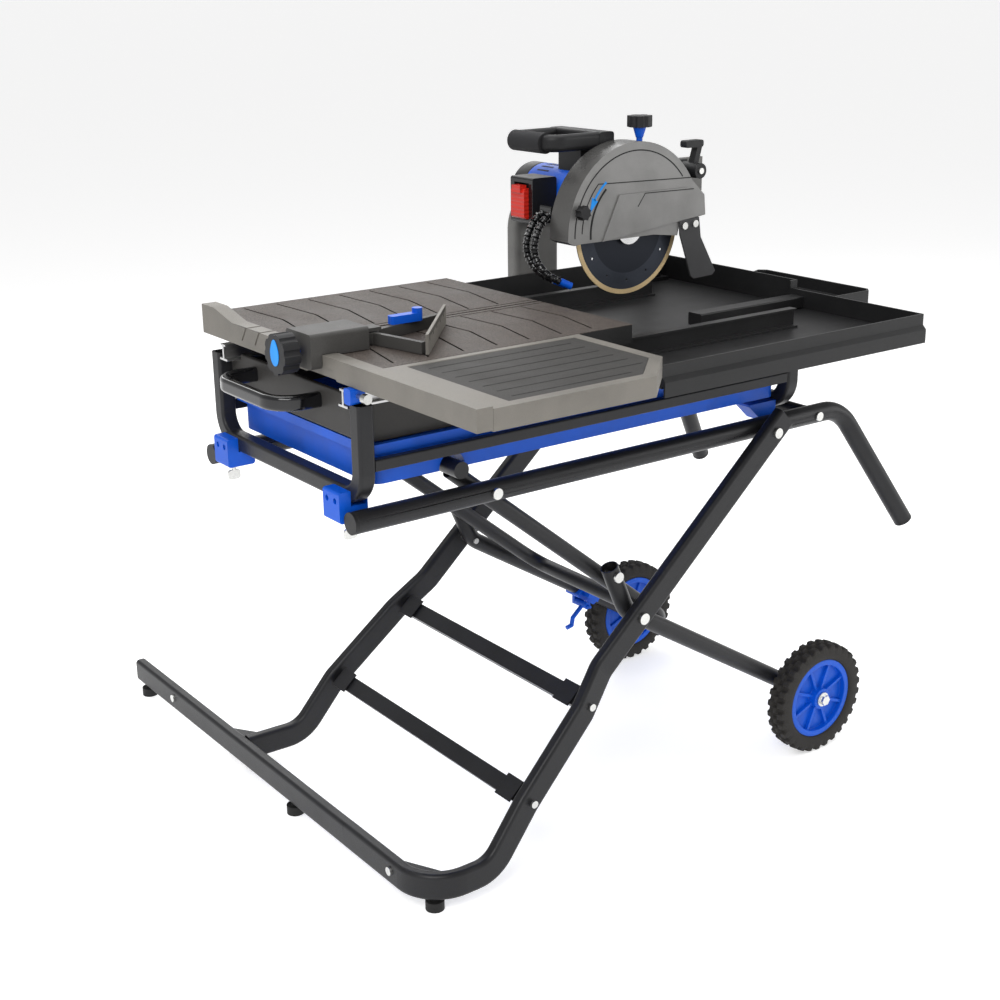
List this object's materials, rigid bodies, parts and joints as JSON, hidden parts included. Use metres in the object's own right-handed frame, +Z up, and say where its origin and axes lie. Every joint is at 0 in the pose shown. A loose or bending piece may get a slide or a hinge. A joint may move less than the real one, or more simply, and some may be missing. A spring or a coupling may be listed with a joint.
{
  "type": "wet tile saw",
  "caption": "Wet tile saw with a sliding table, pivoting motor head and water trays, on a folding stand with two wheels.",
  "frame": {"origin": "bottom centre of the bounding box, on the floor", "axes": "+Z up; +X along the cut, from the front fence towards the wheels and rear tray; +Y across the saw, away from the side wing"},
  "size_m": [1.422, 1.409, 1.291],
  "materials": {
    "black_powder_coat": "satin powder coat",
    "black_plastic": "moulded, matt",
    "zinc_steel": "zinc plated",
    "blue_plastic": "moulded, satin",
    "grey_powder_coat": "fine textured paint",
    "silver_casting": "cast, painted grey",
    "grey_casting": "cast, dark grey paint",
    "table_coat": "cast, speckled coating",
    "dark_steel": "dark grey paint",
    "aluminium_rail": "extruded",
    "black_rubber": "moulded",
    "tyre_rubber": "treaded",
    "hose_plastic": "segmented",
    "blade_steel": "blued disc",
    "blade_gold": "bonded cutting rim",
    "chrome_steel": "turned",
    "red_plastic": "moulded",
    "grey_plastic": "moulded",
    "copper_core": "laminated",
    "soft_grip": "foam"
  },
  "bodies": {
    "frame": {"top_tubes": "black_powder_coat", "end_plugs": "black_plastic", "frame_fasteners": "zinc_steel", "u_frames": "black_powder_coat", "side_rails": "dark_steel", "clamp_blocks": "blue_plastic", "water_pan": "blue_plastic", "pump": "black_plastic", "deck_shell": "grey_powder_coat", "front_panel": "black_plastic", "slide_rails": "aluminium_rail", "splash_tray": "black_plastic", "rear_tray": "black_plastic", "support_column": "silver_casting", "support_brackets": "black_powder_coat"},
    "leg_frame": {"foot_leg_near": "black_powder_coat", "foot_leg_far": "black_powder_coat", "base_crossbar": "black_powder_coat", "rungs": "black_powder_coat", "leg_bolts": "zinc_steel", "rubber_feet": "black_rubber"},
    "wheel_leg_pair": {"wheel_legs": "black_powder_coat", "wheel_leg_bolts": "zinc_steel", "latch_body": "blue_plastic"},
    "latch": {"latch_lever": "blue_plastic"},
    "wheel_near": {"tyre_near": "tyre_rubber", "hub_near": "blue_plastic"},
    "wheel_far": {"tyre_far": "tyre_rubber", "hub_far": "blue_plastic"},
    "yoke": {"yoke": "black_powder_coat"},
    "table": {"table_plate": "table_coat", "table_runners": "aluminium_rail", "fence": "silver_casting", "side_wing": "silver_casting"},
    "table_lock": {"table_lock_pin": "blue_plastic"},
    "guide": {"guide_block": "grey_casting"},
    "guide_clamp": {"guide_knob": "black_plastic"},
    "mitre": {"mitre_frame": "grey_casting", "ruler_plate": "silver_casting"},
    "mitre_clamp": {"mitre_lever": "blue_plastic"},
    "head": {"blade_guard": "grey_plastic", "belt_case": "black_powder_coat", "motor_housing": "blue_plastic", "motor_stator": "copper_core", "motor_end_cap": "black_plastic", "switch_box": "black_plastic", "d_handle": "black_plastic", "coolant_hoses": "hose_plastic", "coolant_nozzles": "blue_plastic", "splash_flap": "black_rubber", "head_fasteners": "zinc_steel", "drive_belt": "black_rubber"},
    "blade": {"blade_core": "blade_steel", "blade_rim": "blade_gold", "arbor": "chrome_steel"},
    "rotor": {"motor_rotor": "copper_core"},
    "switch": {"switch_paddle": "red_plastic"},
    "depth_stop": {"depth_knob": "black_plastic"},
    "guard_clamp": {"guard_knob": "black_plastic"},
    "head_lock": {"lock_lever": "black_plastic"}
  },
  "joints": [
    {"name": "stand_fold", "type": "hinge", "parent": "frame", "child": "leg_frame", "pos_m": [0.25, -0.1305, 0.713], "axis": [0, 1, 0], "range_deg": [0, 21.5]},
    {"name": "wheel_leg_fold", "type": "hinge", "parent": "leg_frame", "child": "wheel_leg_pair", "pos_m": [-0.082, -0.1305, 0.416], "axis": [0, 1, 0], "range_deg": [0, 96.5]},
    {"name": "yoke_swing", "type": "hinge", "parent": "frame", "child": "yoke", "pos_m": [-0.389, -0.1305, 0.713], "axis": [0, 1, 0], "range_deg": [-3.6, 0]},
    {"name": "wheel_near_spin", "type": "hinge", "parent": "wheel_leg_pair", "child": "wheel_near", "pos_m": [0.399, -0.4265, 0.118], "axis": [0, 1, 0], "continuous": true},
    {"name": "wheel_far_spin", "type": "hinge", "parent": "wheel_leg_pair", "child": "wheel_far", "pos_m": [0.399, 0.1655, 0.118], "axis": [0, 1, 0], "continuous": true},
    {"name": "latch_release", "type": "hinge", "parent": "wheel_leg_pair", "child": "latch", "pos_m": [0.20143, 0.0915, 0.20511], "axis": [0, 1, 0], "range_deg": [0, 14], "stiffness_Nm_per_rad": 1.5, "springref_deg": -8.59},
    {"name": "table_slide", "type": "slide", "parent": "frame", "child": "table", "axis": [1, 0, 0], "range_m": [0, 0.56]},
    {"name": "table_lock_pull", "type": "slide", "parent": "frame", "child": "table_lock", "axis": [0, -1, 0], "range_m": [0, 0.008], "stiffness_N_per_m": 400, "springref_m": -0.002},
    {"name": "guide_slide", "type": "slide", "parent": "table", "child": "guide", "axis": [0, 1, 0], "range_m": [-0.11, 0.225]},
    {"name": "guide_knob_turn", "type": "hinge", "parent": "guide", "child": "guide_clamp", "pos_m": [-0.671, -0.2375, 0.972], "axis": [1, 0, 0], "range_deg": [-180, 180]},
    {"name": "mitre_swing", "type": "hinge", "parent": "guide", "child": "mitre", "pos_m": [-0.533, -0.2375, 0.975], "axis": [0, 0, 1], "range_deg": [0, 45]},
    {"name": "mitre_lever_turn", "type": "hinge", "parent": "mitre", "child": "mitre_clamp", "pos_m": [-0.421, -0.2145, 1], "axis": [0, 0, 1], "range_deg": [-20, 30]},
    {"name": "head_plunge", "type": "hinge", "parent": "frame", "child": "head", "pos_m": [0.291, -0.0905, 1.178], "axis": [0, 1, 0], "range_deg": [0, 20]},
    {"name": "motor_spin", "type": "hinge", "parent": "head", "child": "rotor", "pos_m": [0.079, -0.0005, 1.137], "axis": [0, 1, 0], "continuous": true},
    {"name": "blade_spin", "type": "hinge", "parent": "head", "child": "blade", "pos_m": [0.123, -0.1305, 1.08], "axis": [0, 1, 0], "continuous": true},
    {"name": "switch_press", "type": "slide", "parent": "head", "child": "switch", "axis": [1, 0, 0], "range_m": [0, 0.004], "stiffness_N_per_m": 600, "springref_m": -0.002},
    {"name": "depth_knob_turn", "type": "hinge", "parent": "head", "child": "depth_stop", "pos_m": [0.151, -0.1305, 1.26], "axis": [0, 0, 1], "range_deg": [-180, 180]},
    {"name": "guard_knob_turn", "type": "hinge", "parent": "head", "child": "guard_clamp", "pos_m": [-0.017, -0.1605, 1.126], "axis": [0, 1, 0], "range_deg": [-180, 180]},
    {"name": "lock_lever_turn", "type": "hinge", "parent": "head", "child": "head_lock", "pos_m": [0.291, -0.1305, 1.178], "axis": [0, 1, 0], "range_deg": [0, 25]}
  ],
  "couplings": [
    {"joint": "wheel_leg_fold", "follows": "stand_fold", "ratio": 4.4883},
    {"joint": "yoke_swing", "follows": "stand_fold", "ratio": -0.1673},
    {"joint": "blade_spin", "follows": "motor_spin", "ratio": 0.5}
  ]
}
